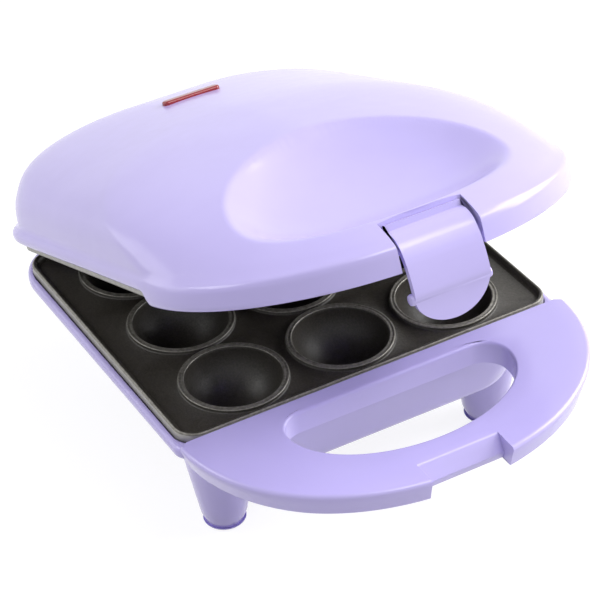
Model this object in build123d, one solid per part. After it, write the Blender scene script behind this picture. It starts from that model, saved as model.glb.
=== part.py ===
from build123d import *
import math
import os

# Cake pop maker: a hinged two-plate cooker on four legs.
# Millimetres, +Z up, the front (handle and latch) towards -Y, X across.
# The origin lies on the table, midway along the length of the part with its lid ajar.

# --- Main places -----------------------------------------------------------------
parting_z = 60.0            # plane where the two plates meet
plate_front_y = -52.0       # front edge of both plates
lid_open_deg = 21.5         # how far the lid stands open at rest

# --- Baking plates ---------------------------------------------------------------
plate_width = 165.0
plate_depth = 143.0
plate_corner = 9.0
plate_gap = 0.5             # between the two closed rims
rim_width = 1.9
rim_height = 2.35           # rim above the plate's floor
floor_thick = 2.2
cup_radius = 19.25
cup_wall = 1.75
cup_columns = 3
cup_rows = 3
cup_pitch_x = 47.67
cup_pitch_y = 44.3
cup_front_margin = 25.7     # plate's front edge to the first row of cups
ring_radius = 21.7          # raised ring round each cup
ring_below_rim = 0.75
edge_break = 0.4

# --- Heating -----------------------------------------------------------------------
element_radius = 3.25
element_depth = 14.0        # element's centre line from the parting plane
element_end_x = 68.0
bed_width = 7.0
clamp_thick = 1.0
clamp_width = 9.0
clamp_boss_radius = 3.2
clamp_boss_offset = 8.0     # from the element's centre line to each clamp screw
clamp_screw_radius = 1.25
clamp_head_radius = 2.4
clamp_head_height = 1.6
clamp_screw_length = 7.0
reflector_depth = 23.0      # reflector's near face from the parting plane
reflector_thick = 0.8
reflector_margin_x = 14.0
reflector_margin_y = 16.0
reflector_lip = 3.0
plate_boss_radius = 4.0
plate_screw_radius = 1.5
plate_screw_bite = 9.0      # thread length in the piece it holds
screw_head_radius = 3.0
screw_head_height = 2.2
head_clearance = 0.4
shank_clearance = 0.25

# --- Casings -------------------------------------------------------------------------
wall = 2.5
opening_clearance = 0.8     # round each plate
deck_drop = 3.5             # base deck below the parting plane, at the sides
band_height = 6.5
bead_radius = 3.0
body_half_width = 85.4
body_front_inset = 3.0      # band's front end ahead of the plate
body_rear_reach = 10.8      # band's rear behind the plates
body_corner = 16.0
body_front_corner = 4.0
tub_depth = 35.0            # parting plane to the tub's underside
tub_top_half_width = 79.5
tub_bottom_half_width = 70.5
tub_top_front = 9.0         # tub's front edge ahead of the plate, at its top
tub_bottom_front = -0.5
tub_top_rear = 8.0
tub_bottom_rear = 2.0
tub_corner = 22.0
tub_floor_fillet = 4.0

# --- Front handle of the base --------------------------------------------------------
handle_half_width = 86.0
handle_reach = 71.5         # plate's front edge to the handle's front
handle_power = 2.1          # shape of the handle's bowed front
handle_top_drop = 0.2       # handle's top below the parting plane
handle_thick = 9.7
handle_draft = 2.2
handle_round = 1.0
hole_half_width = 48.5
hole_reach = 49.3
hole_back = 9.0
hole_power = 2.4
notch_half_width = 17.9
notch_back = 59.2           # back edge of the latch ramp
notch_nose = 64.2           # foremost line of the ramp, which the latch hooks under
notch_nose_depth = 6.2
notch_foot = 62.6
notch_block_margin = 2.5

# --- Legs ------------------------------------------------------------------------------
leg_front_half_spacing = 60.8
leg_rear_half_spacing = 50.0
leg_front_offset = 16.5     # plate's front edge to the front legs
leg_rear_offset = 17.0      # plate's rear edge to the rear legs
leg_bottom_radius = 8.4
leg_taper_deg = 9.7
leg_edge = 1.2
pad_radius = 6.0
pad_thick = 1.7
pad_stand = 0.5             # how far a pad stands out of its leg

# --- Lid ---------------------------------------------------------------------------------
lid_bottom_gap = 0.3        # front skirt above the parting plane
lid_band_drop = 5.3         # side band above the parting plane
lid_band_height = 4.7
lid_half_width = 84.5
lid_bead = 2.5              # how far the band stands out of the dome's foot
lid_bead_round = 1.25
lid_shoulder_z = 9.0        # dome's foot above the parting plane
lid_height = 42.6           # dome's crown above the parting plane
lid_reach = 71.0
lid_rear_reach = 19.0
lid_crown_y = 91.5          # crown from the plate's front edge
lid_rear_start = 120.5
side_rise_power = 3.36
side_fall_power = 1.72
rear_rise_power = 10.0
rear_fall_power = 5.0
front_rise_power = 1.49
front_fall_power = 1.87
crown_front_power = 1.52
foot_rear_power = 3.6
crown_rear_power = 5.4
front_start_power = 1.15
quarter_steps = 7           # points round a quarter of each bowed outline
lid_levels = (0.0, 0.18, 0.38, 0.58, 0.75, 0.87, 0.94, 0.98)
barrier_y = -4.5            # cross wall ahead of the plate
barrier_thick = 2.0
lid_lip_inset = 1.5         # inner face of the lid's lower wall, inside the dome's foot
ear_root_height = 16.0      # top of the ears' roots, above the parting plane

# --- Finger scoop in the lid -------------------------------------------------------------
scoop_centre_y = -30.0
scoop_floor_z = 11.0
scoop_top_z = 39.0
scoop_half_width = 57.0
scoop_front_reach = 30.6
scoop_rear_reach = 52.0
scoop_steep_power = 3.0
scoop_soft_power = 1.6
scoop_levels = (0.02, 0.1, 0.25, 0.5, 1.0)

# --- Latch -------------------------------------------------------------------------------
slot_half_width = 17.2
slot_top_z = 17.4
slot_back = 58.5
pivot_front = 63.5
pivot_z = 8.0
cheek_thick = 2.5
cheek_back = 56.0
latch_half_width = 15.6
latch_thick = 2.4
hub_radius = 3.4
latch_pin_radius = 1.25
bar_radius = 2.2
bar_front = 69.8
bar_depth = 10.3
bar_half_length = 16.9
crease_depth = 9.5
crease_front = 72.7
tongue_front = 69.4
tongue_depth = 21.9

# --- Hinge -------------------------------------------------------------------------------
hinge_setback = 8.5         # behind the plates
hinge_drop = 5.0            # below the parting plane
hinge_pin_radius = 1.5
running_clearance = 0.05
ear_inner_x = 50.0
ear_thick = 8.0
ear_radius = 4.6
ear_side_gap = 0.6
ear_swing_gap = 1.2
lug_thick = 4.9
lug_radius = 4.2
block_depth = 19.0
block_rear = 14.5           # hinge blocks' rear behind the plates

# --- Fittings ----------------------------------------------------------------------------
gland_radius = 5.0
gland_bore = 3.0
gland_flange = 7.0
gland_flange_thick = 2.0
gland_stand = 1.5           # gap from the sloping wall to the flange
gland_depth = 24.0
gland_inside = 5.0          # start of its hole, ahead of the plates' rear edge
terminal_size = (22.0, 10.0, 8.0)
terminal_inset = 16.0       # ahead of the plates' rear edge
terminal_bore = 1.8
thermostat_radius = 7.0
thermostat_height = 5.5
thermostat_boss_radius = 5.0
sensor_depth = 15.0         # sensor faces from the parting plane
fuse_radius = 2.0
fuse_length = 14.0
lens_length = 26.0
lens_width = 5.0
lens_stand = 2.0
lens_y = 125.0              # lens from the plates' front edge
lens_stem_shrink = 1.2
holder_size = (16.0, 9.0, 6.0)
lamp_radius = 2.2
lamp_length = 9.0

# --- Derived places ----------------------------------------------------------------------
plate_back_y = plate_front_y + plate_depth
hinge_y = plate_back_y + hinge_setback
hinge_z = parting_z - hinge_drop
pivot_y = plate_front_y - pivot_front
latch_pivot_z = parting_z + pivot_z
element_row_y = plate_front_y + cup_front_margin + cup_pitch_y
opening_half_width = plate_width / 2 + opening_clearance
ACROSS = Rotation(0, 90, 0)
SIDES = (-1, 1)


def row_y(row):
    return plate_front_y + cup_front_margin + row * cup_pitch_y


def column_x(column):
    return (column - (cup_columns - 1) / 2) * cup_pitch_x


def power_quarter(span, rise, power):
    """One quarter of a superellipse, from (span, 0) to (0, rise)."""
    points = []
    for step in range(quarter_steps + 1):
        turn = math.pi / 2 * step / quarter_steps
        across = max(math.cos(turn), 0.0)
        along = math.sin(turn)
        reach = (across ** power + along ** power) ** (-1 / power)
        points.append((span * across * reach, rise * along * reach))
    return points


def bow_wire(half_width, front, front_start, rear_start, rear, front_power, rear_power, z):
    """A closed outline at height z: bowed front, straight sides, bowed rear.

    The four places along Y are measured from the plates' front edge.
    """
    rear_bow = power_quarter(half_width, rear - rear_start, rear_power)
    front_bow = power_quarter(half_width, front_start - front, front_power)
    edges = []
    for side in SIDES:
        rear_points = [spot(side * x, rear_start + y, z) for x, y in rear_bow]
        front_points = [spot(side * x, front_start - y, z) for x, y in front_bow]
        steps = range(len(rear_points))
        inward = (-side, 0, 0)
        edges.append(Edge.make_spline(rear_points, tangents=[(0, 1, 0), inward], parameters=steps))
        if rear_start > front_start:
            edges.append(Edge.make_line(rear_points[0], front_points[0]))
        edges.append(Edge.make_spline(front_points, tangents=[(0, -1, 0), inward], parameters=steps))
    return Wire(edges)


def spot(x, y, z):
    """A place given from the plates' front edge and the parting plane."""
    return (x, plate_front_y + y, parting_z + z)


def slab(half_width, front_y, rear_y, corner, low_z, high_z):
    """A rounded rectangular slab between two heights."""
    outline = RectangleRounded(2 * half_width, rear_y - front_y, corner)
    place = Location((0, (front_y + rear_y) / 2, low_z))
    return extrude(place * outline, high_z - low_z)


def block(low, high):
    """A plain box from its low corner to its high corner."""
    size = [b - a for a, b in zip(low, high)]
    middle = [(a + b) / 2 for a, b in zip(low, high)]
    return Location(middle) * Box(*size)


def rod_x(radius, x0, x1, y, z):
    """A round rod along X."""
    return Location(((x0 + x1) / 2, y, z)) * ACROSS * Cylinder(radius, abs(x1 - x0))


def span_x(side, near, far):
    """The low and high ends, along X, of a stretch on one side of the middle."""
    return min(side * near, side * far), max(side * near, side * far)


def post(radius, x, y, low_z, high_z):
    """A round post along Z."""
    return Location((x, y, (low_z + high_z) / 2)) * Cylinder(radius, high_z - low_z)


def flip(shape):
    """Mirror a piece of the base in the parting plane, to the closed lid."""
    halves = [solid.mirror(Plane.XY.offset(parting_z)) for solid in shape.solids()]
    return halves[0] if len(halves) == 1 else Compound(children=halves)


def set_open(shape):
    """Turn a piece of the closed lid about the hinge to its rest pose."""
    return shape.rotate(Axis((0, hinge_y, hinge_z), (-1, 0, 0)), lid_open_deg)


# --- Plates ------------------------------------------------------------------------------
rim_top = parting_z - plate_gap / 2
floor_top = rim_top - rim_height
floor_bottom = floor_top - floor_thick
bed_bottom = parting_z - element_depth + element_radius
clamp_face = parting_z - element_depth - element_radius
reflector_top = parting_z - reflector_depth
sensor_face = parting_z - sensor_depth
mount_places = [(side * cup_pitch_x / 2, row_y(row)) for side in SIDES for row in (0, cup_rows - 1)]
clamp_places = [
    (side * cup_pitch_x / 2, element_row_y + way * cup_pitch_y / 2) for side in SIDES for way in SIDES
]


def make_plate():
    """The lower plate: a shallow tray with a rim, ringed cups, and bosses below."""
    half_width = plate_width / 2
    tray = slab(half_width, plate_front_y, plate_back_y, plate_corner, floor_bottom, rim_top)
    tray = chamfer(tray.faces().sort_by(Axis.Z)[-1].edges(), edge_break)
    well = slab(
        half_width - rim_width,
        plate_front_y + rim_width,
        plate_back_y - rim_width,
        plate_corner - rim_width,
        floor_top,
        parting_z,
    )
    plate = tray - well
    below = block((-half_width, plate_front_y, 0), (half_width, plate_back_y, floor_top))
    hollows = []
    for column in range(cup_columns):
        for row in range(cup_rows):
            place = Location((column_x(column), row_y(row), parting_z))
            ring = post(ring_radius, 0, 0, floor_bottom - parting_z, -plate_gap / 2 - ring_below_rim)
            ring = chamfer(ring.faces().sort_by(Axis.Z)[-1].edges(), edge_break)
            plate += place * ring
            plate += (place * Sphere(cup_radius + cup_wall)) & below
            hollows.append(place * Sphere(cup_radius))
    for way in SIDES:
        y = element_row_y + way * cup_pitch_y / 2
        plate += block(
            (-element_end_x + cup_pitch_y / 2, y - bed_width / 2, bed_bottom),
            (element_end_x, y + bed_width / 2, floor_top),
        )
    for x, y in clamp_places:
        for way in SIDES:
            plate += post(clamp_boss_radius, x, y + way * clamp_boss_offset, clamp_face, floor_top)
    for x, y in mount_places:
        plate += post(plate_boss_radius, x, y, reflector_top, floor_top)
    for side in SIDES:
        plate += post(thermostat_boss_radius, side * cup_pitch_x / 2, row_y(1), sensor_face, floor_top)
    for hollow in hollows:
        plate -= hollow
    for x, y in clamp_places:
        for way in SIDES:
            low = clamp_face - 1
            high = clamp_face + clamp_screw_length - clamp_thick
            plate -= post(clamp_screw_radius, x, y + way * clamp_boss_offset, low, high)
    return plate


def make_lower_plate():
    plate = make_plate()
    for x, y in mount_places:
        plate -= post(plate_screw_radius, x, y, reflector_top - 1, reflector_top + plate_screw_bite)
    return plate


def make_upper_plate():
    """The upper plate is the lower one turned over, with screws through its face."""
    plate = flip(make_plate())
    face_z = 2 * parting_z - floor_top
    for x, y in mount_places:
        hole_top = 2 * parting_z - reflector_top + 1
        plate -= post(plate_screw_radius + shank_clearance, x, y, face_z - 1, hole_top)
        head_room = screw_head_radius + head_clearance
        plate -= post(head_room, x, y, face_z - 1, face_z + screw_head_height + head_clearance)
    return plate


# --- Heating parts -------------------------------------------------------------------------
def make_element():
    """A hairpin tube that runs between the rows of cups, its two ends at the right."""
    half = cup_pitch_y / 2
    bend_x = -cup_pitch_x
    z = parting_z - element_depth
    with BuildLine() as path:
        Line((element_end_x, element_row_y - half, z), (bend_x, element_row_y - half, z))
        ThreePointArc(
            (bend_x, element_row_y - half, z),
            (bend_x - half, element_row_y, z),
            (bend_x, element_row_y + half, z),
        )
        Line((bend_x, element_row_y + half, z), (element_end_x, element_row_y + half, z))
    start = Plane(origin=path.line @ 0, z_dir=path.line % 0)
    return sweep(start * Circle(element_radius), path.line)


def make_clamps():
    """Flat straps that press the element up against the plate's beds."""
    straps = []
    for x, y in clamp_places:
        reach = clamp_boss_offset + clamp_boss_radius
        strap = block(
            (x - clamp_width / 2, y - reach, clamp_face - clamp_thick),
            (x + clamp_width / 2, y + reach, clamp_face),
        )
        strap = fillet(strap.edges().filter_by(Axis.Z), clamp_width / 4)
        for way in SIDES:
            strap -= post(clamp_screw_radius, x, y + way * clamp_boss_offset, 0, parting_z)
        straps.append(strap)
    return Compound(children=straps)


def make_clamp_screws():
    screws = []
    head_top = clamp_face - clamp_thick
    for x, y in clamp_places:
        for way in SIDES:
            at_y = y + way * clamp_boss_offset
            head = post(clamp_head_radius, x, at_y, head_top - clamp_head_height, head_top)
            head = fillet(head.faces().sort_by(Axis.Z)[0].edges(), clamp_head_height / 3)
            shank = post(clamp_screw_radius, x, at_y, head_top, head_top + clamp_screw_length)
            screws.append(head + shank)
    return Compound(children=screws)


def make_reflector():
    """A shallow sheet tray that throws the heat back at the plate."""
    half_width = plate_width / 2 - reflector_margin_x
    front = plate_front_y + reflector_margin_y
    back = plate_back_y - reflector_margin_y
    low = reflector_top - reflector_thick
    tray = slab(half_width, front, back, plate_corner, low, reflector_top + reflector_lip)
    inner = slab(
        half_width - reflector_thick,
        front + reflector_thick,
        back - reflector_thick,
        plate_corner - reflector_thick,
        reflector_top,
        parting_z,
    )
    tray -= inner
    for x, y in mount_places:
        tray -= post(plate_screw_radius + shank_clearance, x, y, low - 1, parting_z)
    return tray


# --- Base casing -------------------------------------------------------------------------
handle_top = -handle_top_drop
handle_bottom = handle_top - handle_thick
deck_z = parting_z - deck_drop
tub_bottom = parting_z - tub_depth
tub_floor = tub_bottom + wall
cavity_top_z = deck_z - bead_radius
seat_z = cavity_top_z - edge_break
body_rear_y = plate_back_y + body_rear_reach
block_rear_y = plate_back_y + block_rear
lug_inner_x = ear_inner_x - ear_side_gap - lug_thick
lug_outer_x = ear_inner_x + ear_thick + ear_side_gap + lug_thick
clear = 5.0                 # how far cutters run past the faces they cut through


def tub_loft(inset, low_z, high_z):
    """The tapered tub, drawn in all round by inset, between two heights."""
    faces = []
    for z in (low_z, high_z):
        share = (z - tub_bottom) / (deck_z - tub_bottom)
        half_width = tub_bottom_half_width + share * (tub_top_half_width - tub_bottom_half_width) - inset
        front = plate_front_y - tub_bottom_front - share * (tub_top_front - tub_bottom_front) + inset
        rear = plate_back_y + tub_bottom_rear + share * (tub_top_rear - tub_bottom_rear) - inset
        outline = RectangleRounded(2 * half_width, rear - front, tub_corner - inset)
        faces.append(Location((0, (front + rear) / 2, z)) * outline)
    return loft(faces, ruled=True)


def bow_face(span, reach, power, back_y, z):
    """A D-shaped outline at height z: a bowed front closed by a straight back edge."""
    right = [(x, back_y - y, z) for x, y in power_quarter(span, reach, power)]
    left = [(-x, y, z) for x, y, z in reversed(right[:-1])]
    front = Edge.make_spline(right + left)
    return Face(Wire([front, Edge.make_line(left[-1], right[0])]))


def handle_wire(inset, z):
    face = bow_face(
        handle_half_width - inset, handle_reach - inset, handle_power, plate_front_y, parting_z + z
    )
    return face.outer_wire()


def finger_hole(outset, back):
    """A cutter for the D-shaped finger hole, with a straight back edge."""
    low = parting_z + handle_bottom - 2
    reach = hole_reach + outset - back
    face = bow_face(hole_half_width + outset, reach, hole_power, plate_front_y - back, low)
    return Solid.extrude(face, Vector(0, 0, handle_thick + 4))


def make_handle():
    """The bowed front handle: a skirted shell with a finger hole and a latch ramp."""
    drops = (handle_thick, handle_thick - handle_round, handle_round, 0.3 * handle_round, 0.0)
    insets = (handle_draft + handle_round / 2, handle_draft, 0.0, 0.3 * handle_round, handle_round)
    rings = [handle_wire(inset, handle_top - drop) for drop, inset in zip(drops, insets)]
    handle = Solid.make_loft(rings, ruled=True)
    inner = Solid.make_loft(
        [
            handle_wire(wall + handle_draft, handle_bottom - 1),
            handle_wire(wall, handle_top - wall),
        ],
        ruled=True,
    )
    under = finger_hole(wall, hole_back - 2 * wall)
    core_half = notch_half_width + notch_block_margin
    core = block(
        (-core_half, plate_front_y - handle_reach, 0),
        (core_half, plate_front_y - hole_reach, parting_z),
    )
    behind = block((-200, plate_front_y - 2 * wall, 0), (200, plate_back_y, parting_z))
    return handle - (inner - under - core - behind)


def notch_cutter():
    """Everything ahead of the ramp that the latch rides over and hooks under."""
    top = parting_z + handle_top
    profile = [
        (notch_back, top + 2),
        (notch_back, top),
        (notch_nose - 0.6, parting_z - notch_nose_depth + 1.0),
        (notch_nose, parting_z - notch_nose_depth),
        (notch_foot, parting_z + handle_bottom),
        (notch_foot, parting_z + handle_bottom - 2),
        (handle_reach + 5, parting_z + handle_bottom - 2),
        (handle_reach + 5, top + 2),
    ]
    points = [(-notch_half_width, plate_front_y - y, z) for y, z in profile]
    side = Face(Wire.make_polygon([Vector(*p) for p in points], close=True))
    return Solid.extrude(side, Vector(2 * notch_half_width, 0, 0))


def leg_places():
    front = plate_front_y + leg_front_offset
    rear = plate_back_y - leg_rear_offset
    rows = ((leg_front_half_spacing, front), (leg_rear_half_spacing, rear))
    return [(side * half_spacing, y) for half_spacing, y in rows for side in SIDES]


def leg_radius(z):
    return leg_bottom_radius + (z - pad_stand) * math.tan(math.radians(leg_taper_deg))


def make_leg(x, y, inset, low_z, high_z):
    middle = Location((x, y, (low_z + high_z) / 2))
    return middle * Cone(leg_radius(low_z) - inset, leg_radius(high_z) - inset, high_z - low_z)


def make_lower_casing():
    """Tub, deck band, handle and legs moulded as one thin-walled piece."""
    band_front = plate_front_y - body_front_inset
    band = block(
        (-body_half_width, band_front, deck_z - band_height), (body_half_width, body_rear_y, deck_z)
    )
    band = fillet(band.edges().filter_by(Axis.Z).group_by(Axis.Y)[-1], body_corner)
    band = fillet(band.edges().filter_by(Axis.Z).group_by(Axis.Y)[0], body_front_corner)
    band = fillet(band.faces().sort_by(Axis.Z)[-1].edges(), bead_radius)
    band = fillet(band.faces().sort_by(Axis.Z)[0].edges(), bead_radius)
    tub = tub_loft(0.0, tub_bottom, deck_z - bead_radius)
    tub = fillet(tub.faces().sort_by(Axis.Z)[0].edges(), tub_floor_fillet)
    casing = make_handle() + band + tub
    leg_top = deck_z - band_height
    for x, y in leg_places():
        leg = make_leg(x, y, 0.0, pad_stand, leg_top)
        leg = fillet(leg.faces().sort_by(Axis.Z)[0].edges(), leg_edge)
        casing += leg
    casing -= tub_loft(wall, tub_floor, cavity_top_z)
    casing -= slab(
        opening_half_width,
        plate_front_y - opening_clearance,
        plate_back_y + opening_clearance,
        plate_corner,
        seat_z,
        parting_z + clear,
    )
    for side in SIDES:
        low_x, high_x = span_x(side, lug_inner_x, lug_outer_x)
        low = (low_x, plate_back_y + opening_clearance, parting_z - block_depth)
        casing += block(low, (high_x, block_rear_y, cavity_top_z))
        casing += rod_x(lug_radius, low_x, high_x, hinge_y, hinge_z)
        gap_low_x, gap_high_x = span_x(side, lug_inner_x + lug_thick, lug_outer_x - lug_thick)
        room = ear_radius + ear_swing_gap
        gap_low = (gap_low_x, hinge_y - room, hinge_z - room - hinge_drop)
        casing -= block(gap_low, (gap_high_x, block_rear_y + clear, parting_z + clear))
        casing -= rod_x(hinge_pin_radius, low_x, high_x, hinge_y, hinge_z)
    for x, y in leg_places():
        casing -= make_leg(x, y, wall, pad_stand + pad_thick + wall, leg_top - wall)
        casing -= post(pad_radius, x, y, 0, pad_thick)
    for x, y in mount_places:
        boss_radius = screw_head_radius + head_clearance + wall
        casing += post(boss_radius, x, y, tub_bottom, reflector_top - reflector_thick)
        head_seat = mount_head_z()
        casing -= post(screw_head_radius + head_clearance, x, y, tub_bottom - 1, head_seat)
        casing -= post(plate_screw_radius + shank_clearance, x, y, head_seat - 1, reflector_top)
    casing -= finger_hole(0.0, hole_back)
    casing -= notch_cutter()
    casing -= gland_hole(gland_radius)
    return casing


def mount_head_z():
    """Where the heads of the lower plate's screws seat inside their bosses."""
    return reflector_top - reflector_thick - wall


def gland_hole(radius):
    """A cutter for the cord gland's seat, through the rear wall only."""
    low_y = plate_back_y - gland_inside
    middle = Location((0, (low_y + block_rear_y) / 2, parting_z - gland_depth))
    return middle * Rotation(90, 0, 0) * Cylinder(radius, block_rear_y - low_y)


# --- Lid casing --------------------------------------------------------------------------
def lid_wire(level, inset):
    """One horizontal outline of the dome; level runs from 0 at its foot to 1 at its crown."""
    crown = lid_crown_y
    half_width = lid_half_width * (1 - level ** side_rise_power) ** (1 / side_fall_power)
    rear_full = plate_depth + lid_rear_reach - crown
    rear = crown + rear_full * (1 - level ** rear_rise_power) ** (1 / rear_fall_power)
    front = crown - (crown + lid_reach) * (1 - level ** front_rise_power) ** (1 / front_fall_power)
    front_start = crown * level ** front_start_power
    rear_start = crown + (lid_rear_start - crown) * (1 - level)
    front_power = handle_power + (crown_front_power - handle_power) * level
    rear_power = foot_rear_power + (crown_rear_power - foot_rear_power) * level
    z = lid_shoulder_z + (lid_height - inset - lid_shoulder_z) * level
    return bow_wire(
        half_width - inset,
        front + inset,
        front_start,
        rear_start,
        rear - inset,
        front_power,
        rear_power,
        z,
    )


def lid_dome(inset):
    return Solid.make_loft([lid_wire(level, inset) for level in lid_levels])


def lid_wall(rings):
    """A wall on the outline of the dome's foot, through rings of (outset, height)."""
    wires = []
    for outset, z in rings:
        end_outset = min(outset, handle_reach - lid_reach)
        wires.append(
            bow_wire(
                lid_half_width + outset,
                -lid_reach - end_outset,
                0.0,
                lid_rear_start,
                plate_depth + lid_rear_reach + end_outset,
                handle_power,
                foot_rear_power,
                z,
            )
        )
    return Solid.make_loft(wires, ruled=True)


def scoop_wire(level, outset):
    """One horizontal outline of the finger scoop, from its floor (0) up (1)."""
    steep = (1 - (1 - level) ** scoop_steep_power) ** (1 / scoop_steep_power)
    soft = (1 - (1 - level) ** scoop_soft_power) ** (1 / scoop_soft_power)
    z = scoop_floor_z - outset + (scoop_top_z - scoop_floor_z + outset) * level
    return bow_wire(
        scoop_half_width * steep + outset,
        scoop_centre_y - scoop_front_reach * steep - outset,
        scoop_centre_y,
        scoop_centre_y,
        scoop_centre_y + scoop_rear_reach * soft + outset,
        2.0,
        2.0,
        z,
    )


def scoop_bowl(outset):
    wires = [scoop_wire(level, outset) for level in scoop_levels]
    bowl = Solid.make_loft(wires)
    rim = wires[-1]
    high = rim.moved(Location((0, 0, lid_height - scoop_top_z + 10)))
    return bowl + Solid.make_loft([rim, high], ruled=True)


def latch_slot():
    return block(
        (-slot_half_width, plate_front_y - handle_reach - 5, parting_z - 1),
        (slot_half_width, plate_front_y - slot_back, parting_z + slot_top_z),
    )


def lid_bosses(radius, low):
    return [post(radius, x, y, low, parting_z + lid_height) for x, y in mount_places]


def lid_keepers():
    """What stays solid inside the lid: cross wall, latch cheeks, bosses and ear roots."""
    barrier_front = plate_front_y + barrier_y
    keepers = [
        block(
            (-lid_half_width, barrier_front, 0),
            (lid_half_width, barrier_front + barrier_thick, parting_z + lid_height),
        )
    ]
    for side in SIDES:
        low_x, high_x = span_x(side, slot_half_width, slot_half_width + cheek_thick)
        cheek = block(
            (low_x, plate_front_y - handle_reach, 0),
            (high_x, plate_front_y - cheek_back, parting_z + lid_height),
        )
        keepers.append(cheek - rod_x(latch_pin_radius, low_x, high_x, pivot_y, latch_pivot_z))
        low_x, high_x = span_x(side, ear_inner_x, ear_inner_x + ear_thick)
        keepers.append(
            block(
                (low_x, hinge_y - ear_radius, parting_z + lid_band_drop),
                (high_x, hinge_y + 2 * ear_radius, parting_z + ear_root_height),
            )
        )
    head_z = 2 * parting_z - reflector_top + reflector_thick
    keepers += lid_bosses(screw_head_radius + head_clearance + wall / 2, head_z)
    return keepers


def make_lid_casing():
    """Dome, bead band, front skirt and latch cheeks moulded as one thin-walled piece."""
    band_top = lid_band_drop + lid_band_height
    band = lid_wall(
        [
            (lid_bead - lid_bead_round, lid_band_drop),
            (lid_bead, lid_band_drop + lid_bead_round),
            (lid_bead, band_top - lid_bead_round),
            (lid_bead - lid_bead_round, band_top),
        ]
    )
    ahead = block((-200, -300, 0), (200, plate_front_y - 2 * opening_clearance, parting_z + 300))
    skirt = lid_wall([(lid_bead, lid_bottom_gap), (lid_bead, band_top - lid_bead_round)]) & ahead
    outer = lid_dome(0.0) + band + skirt - scoop_bowl(0.0)
    cavity = lid_dome(wall) + lid_wall([(-lid_lip_inset, -1.0), (-lid_lip_inset, lid_shoulder_z)])
    cavity -= scoop_bowl(wall)
    for keeper in lid_keepers():
        cavity -= keeper
    shell = outer - cavity
    head_z = 2 * parting_z - reflector_top + reflector_thick
    for x, y in mount_places:
        shell -= post(plate_screw_radius, x, y, head_z - 1, head_z + plate_screw_bite)
    for side in SIDES:
        low_x, high_x = span_x(side, ear_inner_x, ear_inner_x + ear_thick)
        ear = rod_x(ear_radius, low_x, high_x, hinge_y, hinge_z)
        ear += block(
            (low_x, hinge_y - ear_radius, hinge_z),
            (high_x, hinge_y + ear_radius, parting_z + lid_band_drop + lid_bead),
        )
        ear -= rod_x(hinge_pin_radius + running_clearance, low_x, high_x, hinge_y, hinge_z)
        shell += ear
    shell -= latch_slot()
    shell -= lens_stem()
    return shell


# --- Latch -------------------------------------------------------------------------------
def make_latch():
    """A curved flap with a hub at its top, a catch bar inside and a rounded tongue."""
    front = plate_front_y
    base = parting_z
    outer = [
        (61.3, 13.7),
        (64.4, 12.9),
        (67.8, 10.6),
        (69.9, 7.2),
        (71.5, 2.6),
        (72.4, -3.2),
        (crease_front, -crease_depth),
    ]
    inner = [
        (crease_front - latch_thick, -crease_depth),
        (72.4 - latch_thick, -3.2),
        (71.5 - latch_thick, 3.0),
        (69.9 - latch_thick, 6.6),
        (66.0, 9.4),
        (63.6, 10.9),
        (61.0, 11.4),
    ]
    x = -latch_half_width
    outer_edge = Edge.make_spline([(x, front - y, base + z) for y, z in outer])
    inner_edge = Edge.make_spline([(x, front - y, base + z) for y, z in inner])
    foot = Edge.make_line(outer_edge @ 1, inner_edge @ 0)
    cap = Edge.make_line(inner_edge @ 1, outer_edge @ 0)
    side = Face(Wire([outer_edge, foot, inner_edge, cap]))
    flap = Solid.extrude(side, Vector(2 * latch_half_width, 0, 0))
    far_x = latch_half_width + 1
    bend_y = front - crease_front + 0.5 * latch_thick
    profile = [
        (bend_y, base - crease_depth + 1.5),
        (bend_y, base - crease_depth - 1.2),
        (front - tongue_front, base - tongue_depth - 1),
        (front - tongue_front + latch_thick, base - tongue_depth - 1),
        (bend_y + latch_thick, base - crease_depth),
        (bend_y + latch_thick, base - crease_depth + 1.5),
    ]
    points = [Vector(-far_x, y, z) for y, z in profile]
    tongue = Solid.extrude(Face(Wire.make_polygon(points, close=True)), Vector(2 * far_x, 0, 0))
    top_z = base - crease_depth + 2
    near_y = front - handle_reach - 2 * clear
    quarter = power_quarter(latch_half_width, tongue_depth - crease_depth, 2.0)
    right = [(px, near_y, base - crease_depth - drop) for px, drop in quarter]
    left = [(-px, py, pz) for px, py, pz in reversed(right[:-1])]
    corners = [left[-1], (-latch_half_width, near_y, top_z), (latch_half_width, near_y, top_z), right[0]]
    sides = [Edge.make_line(a, b) for a, b in zip(corners, corners[1:])]
    outline = Face(Wire([Edge.make_spline(right + left)] + sides))
    window = Solid.extrude(outline, Vector(0, handle_reach - hole_reach + 2 * clear, 0))
    hub = rod_x(hub_radius, -latch_half_width, latch_half_width, pivot_y, latch_pivot_z)
    bar = rod_x(bar_radius, -bar_half_length, bar_half_length, front - bar_front, base - bar_depth)
    latch = flap + (tongue & window) + hub + bar
    reach = latch_half_width + 1
    latch -= rod_x(latch_pin_radius + running_clearance, -reach, reach, pivot_y, latch_pivot_z)
    return latch


# --- Small fittings ----------------------------------------------------------------------
def make_pads():
    return Compound(children=[post(pad_radius, x, y, 0, pad_thick) for x, y in leg_places()])


def make_hinge_pins():
    pins = []
    for side in SIDES:
        low_x, high_x = span_x(side, lug_inner_x, lug_outer_x)
        pins.append(rod_x(hinge_pin_radius, low_x, high_x, hinge_y, hinge_z))
    return Compound(children=pins)


def make_latch_pin():
    reach = slot_half_width + cheek_thick
    return rod_x(latch_pin_radius, -reach, reach, pivot_y, latch_pivot_z)


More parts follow.
